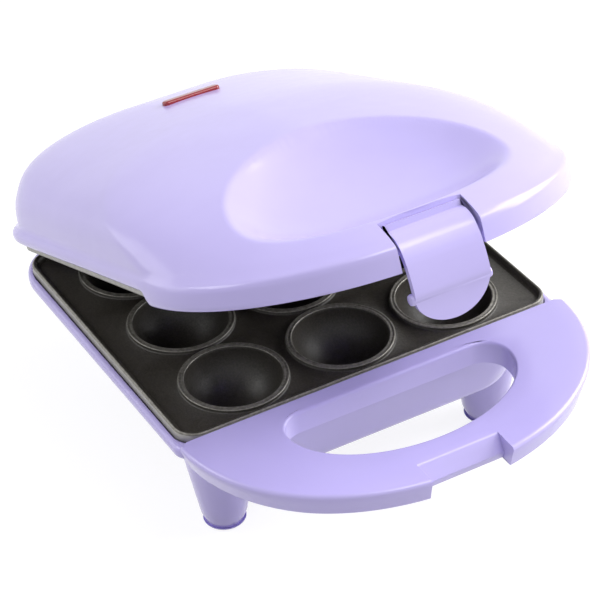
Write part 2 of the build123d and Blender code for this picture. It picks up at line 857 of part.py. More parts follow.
def make_lower_screws():
    """Screws up through the tub's bosses and the reflector into the lower plate."""
    screws = []
    seat = mount_head_z()
    for x, y in mount_places:
        head = post(screw_head_radius, x, y, seat - screw_head_height, seat)
        head = fillet(head.faces().sort_by(Axis.Z)[0].edges(), screw_head_height / 3)
        shank = post(plate_screw_radius, x, y, seat, reflector_top + plate_screw_bite)
        screws.append(head + shank)
    return Compound(children=screws)


def make_upper_screws():
    """Screws up through the upper plate and its reflector into the lid's bosses."""
    screws = []
    seat = 2 * parting_z - floor_top + screw_head_height + head_clearance
    top = 2 * parting_z - reflector_top + reflector_thick + plate_screw_bite
    for x, y in mount_places:
        head = post(screw_head_radius, x, y, seat - screw_head_height, seat)
        head = fillet(head.faces().sort_by(Axis.Z)[0].edges(), screw_head_height / 3)
        screws.append(head + post(plate_screw_radius, x, y, seat, top))
    return Compound(children=screws)


def make_thermostat():
    """A snap-disc thermostat against the upper plate's right-hand boss."""
    x = cup_pitch_x / 2
    face = 2 * parting_z - sensor_face
    can = post(thermostat_radius, x, row_y(1), face, face + thermostat_height)
    can = fillet(can.faces().sort_by(Axis.Z)[-1].edges(), thermostat_height / 6)
    return can


def make_fuse():
    """A thermal fuse lying along the face of the lower plate's left-hand boss."""
    place = Location((-cup_pitch_x / 2, row_y(1), sensor_face - fuse_radius))
    return place * Rotation(90, 0, 0) * Cylinder(fuse_radius, fuse_length)


def make_terminal_block():
    length, depth, height = terminal_size
    y = plate_back_y - terminal_inset
    body = block((-length / 2, y - depth / 2, tub_floor), (length / 2, y + depth / 2, tub_floor + height))
    for side in SIDES:
        hole = Location((side * length / 4, y, tub_floor + height / 2))
        body -= hole * Rotation(90, 0, 0) * Cylinder(terminal_bore, depth + 1)
    return body


def make_gland():
    """A flanged bush in the tub's rear wall, where a mains cord would enter."""
    share = (tub_depth - gland_depth) / (deck_z - tub_bottom)
    wall_y = plate_back_y + tub_bottom_rear + share * (tub_top_rear - tub_bottom_rear)
    z = parting_z - gland_depth
    outer = wall_y + gland_flange_thick + gland_stand
    turn = Rotation(90, 0, 0)
    bush_length = outer - wall_y + 2 * wall
    bush = Location((0, outer - bush_length / 2, z)) * turn * Cylinder(gland_radius, bush_length)
    flange_place = Location((0, outer - gland_flange_thick / 2, z))
    flange = flange_place * turn * Cylinder(gland_flange, gland_flange_thick)
    bore = Location((0, outer, z)) * turn * Cylinder(gland_bore, 3 * bush_length)
    return bush + flange - bore


def lens_stem():
    """The lens's stem, from the holder up through the lid's wall."""
    length = lens_length - 2 * lens_stem_shrink
    width = lens_width - 2 * lens_stem_shrink
    stem = RectangleRounded(length, width, width / 2 - edge_break)
    low = crown_z(wall)
    return Location((0, plate_front_y + lens_y, low)) * extrude(stem, crown_z(0.0) - low)


def make_lens():
    """A bar lens with a stem through the lid."""
    bar = RectangleRounded(lens_length, lens_width, lens_width / 2 - edge_break)
    cap = Location((0, plate_front_y + lens_y, crown_z(0.0))) * extrude(bar, lens_stand)
    cap = fillet(cap.faces().sort_by(Axis.Z)[-1].edges(), lens_stand / 2)
    return cap + lens_stem()


def crown_z(inset):
    """Height of the dome's flat crown, on its outside or drawn in by inset."""
    return parting_z + lid_shoulder_z + (lid_height - inset - lid_shoulder_z) * lid_levels[-1]


def make_holder():
    """A box under the lens that carries the neon lamp."""
    length, depth, height = holder_size
    top = crown_z(wall)
    y = plate_front_y + lens_y
    body = block((-length / 2, y - depth / 2, top - height), (length / 2, y + depth / 2, top))
    bore = rod_x(lamp_radius, -length, length, y, top - height / 2)
    window = block((-length / 4, y - lamp_radius, top - height / 2), (length / 4, y + lamp_radius, top + 1))
    return body - bore - window


def make_lamp():
    y = plate_front_y + lens_y
    z = crown_z(wall) - holder_size[2] / 2
    bulb = rod_x(lamp_radius, -lamp_length / 2, lamp_length / 2, y, z)
    return fillet(bulb.edges().group_by(Axis.X)[-1], lamp_radius / 2)


base_parts = {
    "lower_casing": make_lower_casing(),
    "lower_plate": make_lower_plate(),
    "lower_element": make_element(),
    "lower_element_clamps": make_clamps(),
    "lower_clamp_screws": make_clamp_screws(),
    "lower_reflector": make_reflector(),
    "lower_plate_screws": make_lower_screws(),
    "thermal_fuse": make_fuse(),
    "terminal_block": make_terminal_block(),
    "cord_gland": make_gland(),
    "foot_pads": make_pads(),
    "hinge_pins": make_hinge_pins(),
}
lid_parts = {
    "lid_casing": make_lid_casing(),
    "upper_plate": make_upper_plate(),
    "upper_element": flip(make_element()),
    "upper_element_clamps": flip(make_clamps()),
    "upper_clamp_screws": flip(make_clamp_screws()),
    "upper_reflector": flip(make_reflector()),
    "upper_plate_screws": make_upper_screws(),
    "thermostat": make_thermostat(),
    "indicator_lens": make_lens(),
    "lamp_holder": make_holder(),
    "neon_lamp": make_lamp(),
    "latch_pin": make_latch_pin(),
    "latch": make_latch(),
}

os.makedirs("parts", exist_ok=True)
for name, shape in base_parts.items():
    export_step(shape, f"parts/{name}.step")
for name, shape in lid_parts.items():
    export_step(set_open(shape), f"parts/{name}.step")
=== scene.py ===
import math

import bpy
import numpy as np
from mathutils import Matrix, Vector


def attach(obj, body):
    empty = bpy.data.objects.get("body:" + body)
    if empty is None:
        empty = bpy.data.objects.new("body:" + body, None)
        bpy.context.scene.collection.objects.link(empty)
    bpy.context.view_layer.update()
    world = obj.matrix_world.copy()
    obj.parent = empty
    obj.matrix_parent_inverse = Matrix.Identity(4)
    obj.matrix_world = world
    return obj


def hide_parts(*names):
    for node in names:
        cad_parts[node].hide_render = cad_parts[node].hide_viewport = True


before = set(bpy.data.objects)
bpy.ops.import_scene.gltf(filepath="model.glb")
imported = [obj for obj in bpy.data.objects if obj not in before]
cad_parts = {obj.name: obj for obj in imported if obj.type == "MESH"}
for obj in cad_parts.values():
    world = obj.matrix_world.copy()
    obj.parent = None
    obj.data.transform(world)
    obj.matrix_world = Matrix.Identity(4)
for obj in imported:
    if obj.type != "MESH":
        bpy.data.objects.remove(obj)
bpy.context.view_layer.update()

# Millimetres in the plates' own frame: x across, y back from the plates' front edge,
# z up from the plane where the plates meet. to_part() turns them into the part's metres.
FRONT_EDGE_Y = -52.0
PARTING_Z = 60.0
HINGE_Y = 151.5
HINGE_Z = -5.0
LID_OPEN = math.radians(21.5)
MM = 0.001

PLATE_HALF = 82.5
PLATE_DEPTH = 143.0
PLATE_CORNER = 9.0
CUP_R = 19.25
CUP_OUTER_R = 21.0
CUP_OUTER_START = math.radians(13.2)
CUP_X = (-47.67, 0.0, 47.67)
CUP_Y = (25.7, 70.0, 114.3)


# --- Mesh helpers ------------------------------------------------------------------------
def to_part(points, closed_lid=False):
    """Plate-frame millimetres to part-frame metres; closed_lid also opens the lid to rest."""
    p = np.array(points, float).reshape(-1, 3).copy()
    if closed_lid:
        dy = p[:, 1] - HINGE_Y
        dz = p[:, 2] - HINGE_Z
        p[:, 1] = HINGE_Y + dy * math.cos(LID_OPEN) + dz * math.sin(LID_OPEN)
        p[:, 2] = HINGE_Z - dy * math.sin(LID_OPEN) + dz * math.cos(LID_OPEN)
    p[:, 1] += FRONT_EDGE_Y
    p[:, 2] += PARTING_Z
    return p * MM


def make_object(name, points, faces, materials, lid=False, sharp=35.0, face_slots=None):
    """A mesh object from plate-frame points, smooth shaded but for its sharp edges."""
    mesh = bpy.data.meshes.new(name)
    mesh.from_pydata(to_part(points, lid).tolist(), [], [tuple(int(i) for i in f) for f in faces])
    for material in materials:
        mesh.materials.append(material)
    if face_slots is not None:
        mesh.polygons.foreach_set("material_index", np.array(face_slots, np.int32))
    mesh.validate()
    obj = bpy.data.objects.new(name, mesh)
    bpy.context.scene.collection.objects.link(obj)
    clean(obj, sharp)
    return obj


def clean(obj, sharp):
    """Merges doubled points, turns faces outward and marks the sharp edges."""
    import bmesh

    bm = bmesh.new()
    bm.from_mesh(obj.data)
    bmesh.ops.remove_doubles(bm, verts=bm.verts, dist=2e-6)
    bmesh.ops.dissolve_degenerate(bm, edges=bm.edges, dist=1e-6)
    bmesh.ops.recalc_face_normals(bm, faces=bm.faces)
    bm.to_mesh(obj.data)
    bm.free()
    obj.data.polygons.foreach_set("use_smooth", np.ones(len(obj.data.polygons), bool))
    obj.data.set_sharp_from_angle(angle=math.radians(sharp))


def grid_faces(rows, cols, wrap, start=0):
    """Quads of a rows x cols grid of points, whose columns may close round."""
    faces = []
    last = cols if wrap else cols - 1
    for i in range(rows - 1):
        for j in range(last):
            k = (j + 1) % cols
            a = start + i * cols + j
            b = start + i * cols + k
            faces.append((a, b, b + cols, a + cols))
    return faces


def join_parts(parts):
    """Several (points, faces) lists as one."""
    points, faces = [], []
    for pts, fcs in parts:
        base = sum(len(p) for p in points)
        points.append(np.array(pts, float).reshape(-1, 3))
        faces += [tuple(i + base for i in f) for f in fcs]
    return np.concatenate(points), faces


def rings_to_mesh(rings, close_ends=True):
    """Stacked closed rings of equal count, with a face over each end."""
    rows, cols = len(rings), len(rings[0])
    points = np.concatenate([np.array(r, float) for r in rings])
    faces = grid_faces(rows, cols, True)
    if close_ends:
        faces.append(tuple(range(cols))[::-1])
        faces.append(tuple((rows - 1) * cols + j for j in range(cols)))
    return points, faces


def resample(curve, count):
    """Points at equal steps of length along an open curve."""
    curve = np.array(curve, float)
    steps = np.linalg.norm(np.diff(curve, axis=0), axis=1)
    along = np.concatenate([[0.0], np.cumsum(steps)])
    want = np.linspace(0, along[-1], count)
    return np.stack([np.interp(want, along, curve[:, k]) for k in range(curve.shape[1])], axis=1)


def quarter(span, rise, power, count=60):
    """A quarter superellipse from (span, 0) to (0, rise), as dense points."""
    t = np.linspace(0, math.pi / 2, count)
    c, s = np.cos(t).clip(0), np.sin(t)
    r = (c ** power + s ** power) ** (-1 / power)
    return np.stack([span * c * r, rise * s * r], axis=1)


def rounded_rect(half, y0, y1, corner, per_corner=14, per_side=10):
    """A closed outline, anticlockwise from the front right."""
    pts = []
    centres = [
        (half - corner, y0 + corner, -90),
        (half - corner, y1 - corner, 0),
        (-half + corner, y1 - corner, 90),
        (-half + corner, y0 + corner, 180),
    ]
    for cx, cy, start in centres:
        for k in range(per_corner + 1):
            a = math.radians(start + 90 * k / per_corner)
            pts.append((cx + corner * math.cos(a), cy + corner * math.sin(a)))
    out = []
    n = len(pts)
    for i, p in enumerate(pts):
        out.append(p)
        q = pts[(i + 1) % n]
        if (i + 1) % (per_corner + 1) == 0:
            for k in range(1, per_side):
                t = k / per_side
                out.append((p[0] + (q[0] - p[0]) * t, p[1] + (q[1] - p[1]) * t))
    return np.array(out)


def ring_at(outline, z):
    return np.column_stack([outline, np.full(len(outline), float(z))])


def fillet_steps(r, count=5):
    """Insets and drops round a quarter circle of radius r, from the top edge to the side."""
    out = []
    for k in range(count + 1):
        a = math.pi / 2 * k / count
        out.append((r * (1 - math.sin(a)), r * (1 - math.cos(a))))
    return out


def lathe(profile, cx, cy, segments=64):
    """A closed solid turned about an upright axis from (radius, z) points."""
    rings = []
    for r, z in profile:
        a = np.linspace(0, 2 * math.pi, segments, endpoint=False)
        rings.append(
            np.stack([cx + r * np.cos(a), cy + r * np.sin(a), np.full(segments, float(z))], axis=1)
        )
    return rings_to_mesh(rings)


def rod_x(r, x0, x1, y, z, edge=0.5, segments=40):
    """A round bar along X with softened ends."""
    rings = []
    stations = [(x0, r - edge), (x0 + 0.3 * edge, r - 0.3 * edge), (x0 + edge, r)]
    stations += [(x1 - edge, r), (x1 - 0.3 * edge, r - 0.3 * edge), (x1, r - edge)]
    for x, rr in stations:
        a = np.linspace(0, 2 * math.pi, segments, endpoint=False)
        rings.append(np.stack([np.full(segments, x), y + rr * np.cos(a), z + rr * np.sin(a)], axis=1))
    return rings_to_mesh(rings)


def prism_x(profile, x0, x1):
    """A solid of constant (y, z) profile between two places along X."""
    rings = [[(x, y, z) for y, z in profile] for x in (x0, x1)]
    return rings_to_mesh(rings)


def box_mesh(lo, hi):
    x0, y0, z0 = lo
    x1, y1, z1 = hi
    rings = [
        [(x0, y0, z), (x1, y0, z), (x1, y1, z), (x0, y1, z)]
        for z in (z0, z1)
    ]
    return rings_to_mesh(rings)


# --- Materials -----------------------------------------------------------------------------
def new_material(name, color, roughness, metallic=0.0, coat=0.0, coat_roughness=0.05):
    m = bpy.data.materials.new(name)
    m.use_nodes = True
    b = m.node_tree.nodes["Principled BSDF"]
    b.inputs["Base Color"].default_value = (*color, 1)
    b.inputs["Roughness"].default_value = roughness
    b.inputs["Metallic"].default_value = metallic
    b.inputs["Coat Weight"].default_value = coat
    b.inputs["Coat Roughness"].default_value = coat_roughness
    return m


def add_grain(m, scale, strength, distance, detail=3.0, rough_low=None, rough_high=None,
              color_low=None, color_high=None, color_scale=None):
    """Fine bump, with optional variation of roughness and colour, from noise in object space."""
    nt = m.node_tree
    b = nt.nodes["Principled BSDF"]
    coords = nt.nodes.new("ShaderNodeTexCoord")
    noise = nt.nodes.new("ShaderNodeTexNoise")
    noise.inputs["Scale"].default_value = scale
    noise.inputs["Detail"].default_value = detail
    nt.links.new(coords.outputs["Object"], noise.inputs["Vector"])
    bump = nt.nodes.new("ShaderNodeBump")
    bump.inputs["Strength"].default_value = strength
    bump.inputs["Distance"].default_value = distance
    nt.links.new(noise.outputs["Fac"], bump.inputs["Height"])
    nt.links.new(bump.outputs["Normal"], b.inputs["Normal"])
    if rough_low is not None:
        rng = nt.nodes.new("ShaderNodeMapRange")
        rng.inputs["From Min"].default_value = 0.3
        rng.inputs["From Max"].default_value = 0.7
        rng.inputs["To Min"].default_value = rough_low
        rng.inputs["To Max"].default_value = rough_high
        nt.links.new(noise.outputs["Fac"], rng.inputs["Value"])
        nt.links.new(rng.outputs["Result"], b.inputs["Roughness"])
    if color_low is not None:
        tint = nt.nodes.new("ShaderNodeTexNoise")
        tint.inputs["Scale"].default_value = color_scale or scale
        tint.inputs["Detail"].default_value = detail
        nt.links.new(coords.outputs["Object"], tint.inputs["Vector"])
        ramp = nt.nodes.new("ShaderNodeValToRGB")
        ramp.color_ramp.elements[0].position = 0.35
        ramp.color_ramp.elements[0].color = (*color_low, 1)
        ramp.color_ramp.elements[1].position = 0.68
        ramp.color_ramp.elements[1].color = (*color_high, 1)
        nt.links.new(tint.outputs["Fac"], ramp.inputs["Fac"])
        nt.links.new(ramp.outputs["Color"], b.inputs["Base Color"])


lavender = new_material("lavender_plastic", (0.535, 0.472, 0.85), 0.22, coat=0.2, coat_roughness=0.1)
add_grain(lavender, 160.0, 0.02, 0.0004, rough_low=0.19, rough_high=0.26,
          color_low=(0.525, 0.462, 0.84), color_high=(0.545, 0.482, 0.86), color_scale=30.0)
nonstick = new_material("nonstick_coating", (0.037, 0.033, 0.027), 0.42)
add_grain(nonstick, 900.0, 0.25, 0.0003, detail=4.0, rough_low=0.36, rough_high=0.52,
          color_low=(0.028, 0.025, 0.02), color_high=(0.05, 0.044, 0.036), color_scale=1400.0)
# lighter grey on the plates' rounded rim edges and cup ring tops: partly bare edge, partly painted
# highlight
edge_bare_and_highlight = new_material("edge_bare_and_painted_highlight", (0.2, 0.19, 0.165), 0.36, metallic=0.3)
add_grain(edge_bare_and_highlight, 900.0, 0.2, 0.0002, rough_low=0.3, rough_high=0.45,
          color_low=(0.15, 0.14, 0.12), color_high=(0.25, 0.24, 0.21), color_scale=700.0)
side_metal = new_material("plate_side", (0.4, 0.39, 0.35), 0.45, metallic=0.2)
add_grain(side_metal, 500.0, 0.12, 0.0002, rough_low=0.4, rough_high=0.52,
          color_low=(0.36, 0.355, 0.32), color_high=(0.43, 0.42, 0.38), color_scale=300.0)
steel = new_material("plated_steel", (0.62, 0.61, 0.58), 0.32, metallic=1.0)
add_grain(steel, 700.0, 0.1, 0.0001, rough_low=0.26, rough_high=0.4)
heater = new_material("heater_tube", (0.2, 0.19, 0.18), 0.5, metallic=0.8)
add_grain(heater, 500.0, 0.2, 0.0002, rough_low=0.42, rough_high=0.6,
          color_low=(0.15, 0.14, 0.13), color_high=(0.25, 0.24, 0.23), color_scale=120.0)
sheet_metal = new_material("reflector_sheet", (0.7, 0.7, 0.7), 0.3, metallic=1.0)
add_grain(sheet_metal, 300.0, 0.08, 0.0002, rough_low=0.24, rough_high=0.36)
pad_rubber = new_material("pad_rubber", (0.47, 0.41, 0.7), 0.75)
add_grain(pad_rubber, 700.0, 0.3, 0.0003, rough_low=0.65, rough_high=0.85)
dark_plastic = new_material("dark_plastic", (0.03, 0.03, 0.032), 0.45)
add_grain(dark_plastic, 600.0, 0.2, 0.0002, rough_low=0.4, rough_high=0.52)
pale_plastic = new_material("pale_plastic", (0.72, 0.72, 0.68), 0.5)
add_grain(pale_plastic, 500.0, 0.15, 0.0002, rough_low=0.44, rough_high=0.56)
lens_red = new_material("lens_red", (0.26, 0.004, 0.012), 0.2, coat=0.3, coat_roughness=0.03)
add_grain(lens_red, 400.0, 0.05, 0.0002, rough_low=0.09, rough_high=0.16)
lamp_glass = new_material("lamp_glass", (0.95, 0.7, 0.5), 0.1)
lamp_glass.node_tree.nodes["Principled BSDF"].inputs["Transmission Weight"].default_value = 0.6
add_grain(lamp_glass, 300.0, 0.05, 0.0002, rough_low=0.08, rough_high=0.14)


# --- Lid shell ------------------------------------------------------------------------------
CROWN_Y = 91.45
LID_W = 84.5
LID_FRONT = -71.0
LID_REAR = 162.0
LID_TOP = 42.6
FOOT_Z = 9.0
REAR_START = 120.5
N_REAR, N_SIDE, N_FRONT = 70, 60, 90
LID_WALL = 2.5
DOME_FOOT = 12.8
RIM_BLEND = 7.0


def lid_params(s, inset=0.0):
    """Half width, rear, front and the starts of the rounded ends, at level s."""
    w = LID_W * (1 - s ** 3.36) ** (1 / 1.72)
    rear = CROWN_Y + (LID_REAR - CROWN_Y) * (1 - s ** 10.0) ** (1 / 5.0)
    front = CROWN_Y - (CROWN_Y - LID_FRONT) * (1 - s ** 1.49) ** (1 / 1.87)
    front_start = CROWN_Y * s ** 1.15
    rear_start = CROWN_Y + (REAR_START - CROWN_Y) * (1 - s)
    front_power = 2.1 + (1.52 - 2.1) * s
    rear_power = 3.2 + 2.0 * s + 2.2 * smooth_step(0.42, 0.85, s)
    w = np.maximum(w - inset, 0.0)
    rear = np.maximum(rear - inset, rear_start)
    front = np.minimum(front + inset, front_start)
    return w, rear, front, front_start, rear_start, front_power, rear_power


def lid_outline(s, inset=0.0):
    """Closed ring of (x, y): rear middle, right side, front middle, left side."""
    w, rear, front, fs, rs, fp, rp = lid_params(s, inset)
    rear_arc = quarter(w, rear - rs, rp, 200)[::-1]
    a = resample(np.column_stack([rear_arc[:, 0], rs + rear_arc[:, 1]]), N_REAR)
    side = np.linspace(0, 1, N_SIDE + 2)[1:-1]
    b = np.column_stack([np.full(N_SIDE, w), rs + (fs - rs) * side])
    front_arc = quarter(w, fs - front, fp, 200)
    c = resample(np.column_stack([front_arc[:, 0], fs - front_arc[:, 1]]), N_FRONT)
    right = np.concatenate([a, b, c])
    left = right[1:-1][::-1] * np.array([-1, 1])
    return np.concatenate([right, left])


def scoop_height(x, y, outset=0.0):
    """Height of the finger scoop's surface; steep beyond its rim."""
    dy = y + 30.0
    lo = np.zeros_like(x)
    hi = np.full_like(x, 1.0)

    def outside(v):
        steep = (1 - (1 - v) ** 3) ** (1 / 3)
        soft = (1 - (1 - v) ** 1.6) ** (1 / 1.6)
        ax = 57.0 * steep + outset
        ay = np.where(dy < 0, 30.6 * steep, 52.0 * soft) + outset
        ax = np.maximum(ax, 1e-6)
        ay = np.maximum(ay, 1e-6)
        return (x / ax) ** 2 + (dy / ay) ** 2

    for _ in range(26):
        mid = (lo + hi) / 2
        out = outside(mid) > 1
        lo = np.where(out, mid, lo)
        hi = np.where(out, hi, mid)
    beyond = np.sqrt(np.maximum(outside(np.ones_like(x)), 1.0)) - 1.0
    return 11.0 - outset + (28.0 + outset) * (lo + hi) / 2 + beyond * 90.0


def smooth_min(a, b, k):
    h = np.maximum(k - np.abs(a - b), 0.0) / k
    return np.minimum(a, b) - h * h * k / 4


def smooth_step(a, b, v):
    t = np.clip((v - a) / (b - a), 0, 1)
    return t * t * (3 - 2 * t)


# (outset, height) down the lower wall where the bead stands out, and where it has faded
BEAD = [
    (0.0, 12.6), (0.05, 11.8), (0.2, 11.2), (0.6, 10.7), (1.3, 10.3), (2.0, 9.9), (2.6, 9.3),
    (2.95, 8.5), (3.0, 7.8), (2.95, 7.1), (2.75, 6.4), (2.3, 5.8), (1.6, 5.4), (0.8, 5.3),
]
FLARE = [
    (0.25, 12.6), (0.4, 11.8), (0.6, 11.2), (0.85, 10.7), (1.1, 10.3), (1.4, 9.9), (1.75, 9.3),
    (2.1, 8.5), (2.3, 7.8), (2.35, 7.1), (2.25, 6.4), (1.9, 5.8), (1.3, 5.4), (0.8, 5.3),
]


def outline_normals(ring):
    ahead = np.roll(ring, -1, axis=0) - np.roll(ring, 1, axis=0)
    n = np.column_stack([-ahead[:, 1], ahead[:, 0]])
    n /= np.maximum(np.linalg.norm(n, axis=1, keepdims=True), 1e-9)
    return n


def lid_shell_mesh():
    """The lid's outer dome with its scoop, the bead below it, and the inner face."""
    levels = (1 - np.linspace(1, 0, 110) ** 1.9)[::-1]
    rings = []
    for s in levels:
        z = FOOT_Z + (LID_TOP - FOOT_Z) * s
        if z <= DOME_FOOT:
            continue
        ring = lid_outline(min(s, 0.99999))
        x, y = ring[:, 0], ring[:, 1]
        zz = smooth_min(np.full(len(ring), z), scoop_height(x, y), RIM_BLEND)
        near = 1 - smooth_step(DOME_FOOT, 17.0, z)
        normal = outline_normals(ring)
        fade = 1 - smooth_step(55.0, 105.0, y)
        out = 0.25 * near * fade
        rings.append(np.column_stack([x + normal[:, 0] * out, y + normal[:, 1] * out, zz]))
    foot = lid_outline(0.0)
    normal = outline_normals(foot)
    if (normal[5] * (foot[5] - foot.mean(axis=0))).sum() < 0:
        normal = -normal
    y = foot[:, 1]
    full = smooth_step(55.0, 105.0, y)
    front = 1 - smooth_step(-2.5, 1.0, y)
    depth_limit = np.where(y < 0, 0.5 + 1.85 * (np.abs(foot[:, 0]) / LID_W) ** 2, 9.0)
    for (o1, z1), (o2, z2) in zip(BEAD, FLARE):
        out = full * o1 + (1 - full) * o2
        out = out * (1 - front) + np.minimum(out, depth_limit) * front
        z = np.full(len(foot), z1)
        z = np.where(z > 9.5, z, 9.5 - (9.5 - z) * (1 + front * (9.2 / 4.2 - 1)))
        ring_s = max((z1 - FOOT_Z) / (LID_TOP - FOOT_Z), 0.0)
        base = lid_outline(ring_s)
        rings.append(
            np.column_stack([base[:, 0] + normal[:, 0] * out, base[:, 1] + normal[:, 1] * out, z])
        )
    low = 5.3 - 5.0 * front
    for out, lift in ((-0.6, 0.0), (-1.3, 0.15), (-1.5, 0.6), (-1.5, 3.0)):
        rings.append(
            np.column_stack(
                [foot[:, 0] + normal[:, 0] * out, foot[:, 1] + normal[:, 1] * out, low + lift]
            )
        )
    for s in levels[::-1][::3]:
        inner = lid_outline(min(s, 0.9995), LID_WALL)
        z = FOOT_Z + (LID_TOP - LID_WALL - FOOT_Z) * s
        x, y = inner[:, 0], inner[:, 1]
        zz = smooth_min(np.full(len(inner), z), scoop_height(x, y, LID_WALL), RIM_BLEND)
        rings.append(np.column_stack([x, y, zz]))
    return rings_to_mesh(rings)


def dome_inner_height(x, y):
    """Height of the dome's inner face over a place, for pieces that reach up to it."""
    lo, hi = 0.0, 1.0
    for _ in range(30):
        mid = (lo + hi) / 2
        w, rear, front, fs, rs, fp, rp = lid_params(mid, LID_WALL)
        if w <= 0:
            inside = False
        elif y < fs:
            inside = (abs(x) / w) ** fp + ((fs - y) / max(fs - front, 1e-6)) ** fp < 1
        elif y > rs:
            inside = (abs(x) / w) ** rp + ((y - rs) / max(rear - rs, 1e-6)) ** rp < 1
        else:
            inside = abs(x) < w
        if inside:
            lo = mid
        else:
            hi = mid
    dome = FOOT_Z + (LID_TOP - LID_WALL - FOOT_Z) * lo
    scoop = float(scoop_height(np.array([x]), np.array([y]), LID_WALL)[0])
    return min(dome, scoop)


def boolean(obj, cutter_mesh, lid=False):
    """Cuts a closed mesh from an object."""
    cutter = make_object("cutter", *cutter_mesh, [], lid=lid)
    mod = obj.modifiers.new("cut", "BOOLEAN")
    mod.operation = "DIFFERENCE"
    mod.solver = "EXACT"
    mod.object = cutter
    apply_modifiers(obj)
    bpy.data.objects.remove(cutter)


def apply_modifiers(obj):
    graph = bpy.context.evaluated_depsgraph_get()
    mesh = bpy.data.meshes.new_from_object(obj.evaluated_get(graph))
    old = obj.data
    obj.modifiers.clear()
    obj.data = mesh
    bpy.data.meshes.remove(old)


lid_shell = make_object("lid_shell", *lid_shell_mesh(), [lavender], lid=True, sharp=50.0)
SLOT = 17.2
boolean(lid_shell, box_mesh((-SLOT, -90, -6), (SLOT, -59.0, 17.5)), lid=True)
clean(lid_shell, 50.0)

inner_parts = []
for side in (-1, 1):
    x0, x1 = sorted((side * SLOT, side * (SLOT + 2.5)))
    cheek = [(-68.0, 0.4), (-56.0, 0.4)]
    top = [(yy, dome_inner_height(x1 if side > 0 else x0, yy) + 1.0) for yy in (-56.0, -59.0, -62.0, -65.0)]
    cheek += top + [(-67.6, 9.0)]
    inner_parts.append(prism_x(cheek, x0, x1))
    x0, x1 = sorted((side * 50.0, side * 58.0))
    ear = []
    for k in range(15):
        a = math.radians(180 + 180 * k / 14)
        ear.append((HINGE_Y + 4.6 * math.cos(a), HINGE_Z + 4.6 * math.sin(a)))
    ear += [(HINGE_Y + 4.6, 3.5), (HINGE_Y + 7.5, 5.0), (HINGE_Y + 7.5, 16.0), (HINGE_Y - 4.6, 16.0)]
    inner_parts.append(prism_x(ear, x0, x1))
wall_x = np.linspace(-81.5, 81.5, 90)
wall_pts = []
for yy in (-4.5, -2.5):
    low = [(x, yy, 0.3) for x in wall_x]
    high = [(x, yy, dome_inner_height(x, yy) + 1.2) for x in wall_x]
    wall_pts.append(low + high[::-1])
inner_parts.append(rings_to_mesh(wall_pts))
lid_ribs = make_object("lid_inner_walls", *join_parts(inner_parts), [lavender], lid=True)


# --- Base shell ------------------------------------------------------------------------------
DECK = -4.1
TUB_BOTTOM = -35.0


def tub_outline(z, inset=0.0):
    share = (z - TUB_BOTTOM) / (-3.5 - TUB_BOTTOM)
    half = 70.5 + share * 9.0 - inset
    y0 = 0.5 - share * 9.5 + inset
    y1 = PLATE_DEPTH + 2.0 + share * 6.0 - inset
    return rounded_rect(half, y0, y1, max(22.0 - inset, 1.0))


def body_mesh():
    def deck(inset):
        rear = rounded_rect(85.3 - inset, -2.0 + min(inset, 1.5), 153.8 - inset, max(24.0 - inset, 1.0))
        front = rounded_rect(85.3 - inset, -2.0 + min(inset, 1.5), 153.8 - inset, max(6.0 - inset, 1.0))
        return np.where(rear[:, 1:] < 70.0, front, rear)

    rings = []
    inner = rounded_rect(82.95, -0.45, PLATE_DEPTH + 0.45, PLATE_CORNER + 0.45)
    rings.append(ring_at(inner, -7.0))
    rings.append(ring_at(inner, DECK - 0.5))
    rings.append(ring_at(rounded_rect(83.05, -0.55, PLATE_DEPTH + 0.55, PLATE_CORNER + 0.5), DECK - 0.12))
    rings.append(ring_at(rounded_rect(83.2, -0.7, PLATE_DEPTH + 0.8, PLATE_CORNER + 0.6), DECK))
    for inset, drop in fillet_steps(2.0, 8):
        rings.append(ring_at(deck(inset), DECK - drop))
    for inset, drop in reversed(fillet_steps(2.9, 8)):
        rings.append(ring_at(deck(inset), -10.0 + drop))
    for z in (-10.4, -12.0, -16.0, -22.0, -28.0):
        rings.append(ring_at(tub_outline(z), z))
    for inset, lift in reversed(fillet_steps(4.0, 8)):
        rings.append(ring_at(tub_outline(TUB_BOTTOM + lift, inset), TUB_BOTTOM + lift))
    rings.append(ring_at(tub_outline(TUB_BOTTOM, 30.0), TUB_BOTTOM))
    rings.append(ring_at(tub_outline(TUB_BOTTOM, 30.0), TUB_BOTTOM + 2.5))
    rings.append(ring_at(tub_outline(TUB_BOTTOM + 2.5, 4.0), TUB_BOTTOM + 2.5))
    rings.append(ring_at(tub_outline(-8.0, 2.5), -8.0))
    rings.append(ring_at(inner, -7.0))
    rows, cols = len(rings), len(rings[0])
    faces = grid_faces(rows, cols, True)
    floor_low = rows - 5
    faces.append(tuple(floor_low * cols + j for j in range(cols)))
    faces.append(tuple((floor_low + 1) * cols + j for j in range(cols))[::-1])
    faces = [f for f in faces if not (len(f) == 4 and floor_low * cols <= f[0] < (floor_low + 1) * cols)]
    return np.concatenate(rings), faces


HANDLE_A, HANDLE_B = 86.0, 71.5
BACK_EDGE = -1.5
HOLE_HALF, HOLE_BACK, HOLE_CORNER, HOLE_DEPTH = 48.5, -9.0, 10.0, 40.3
NOTCH = 17.6
END_ROUND = 2.5


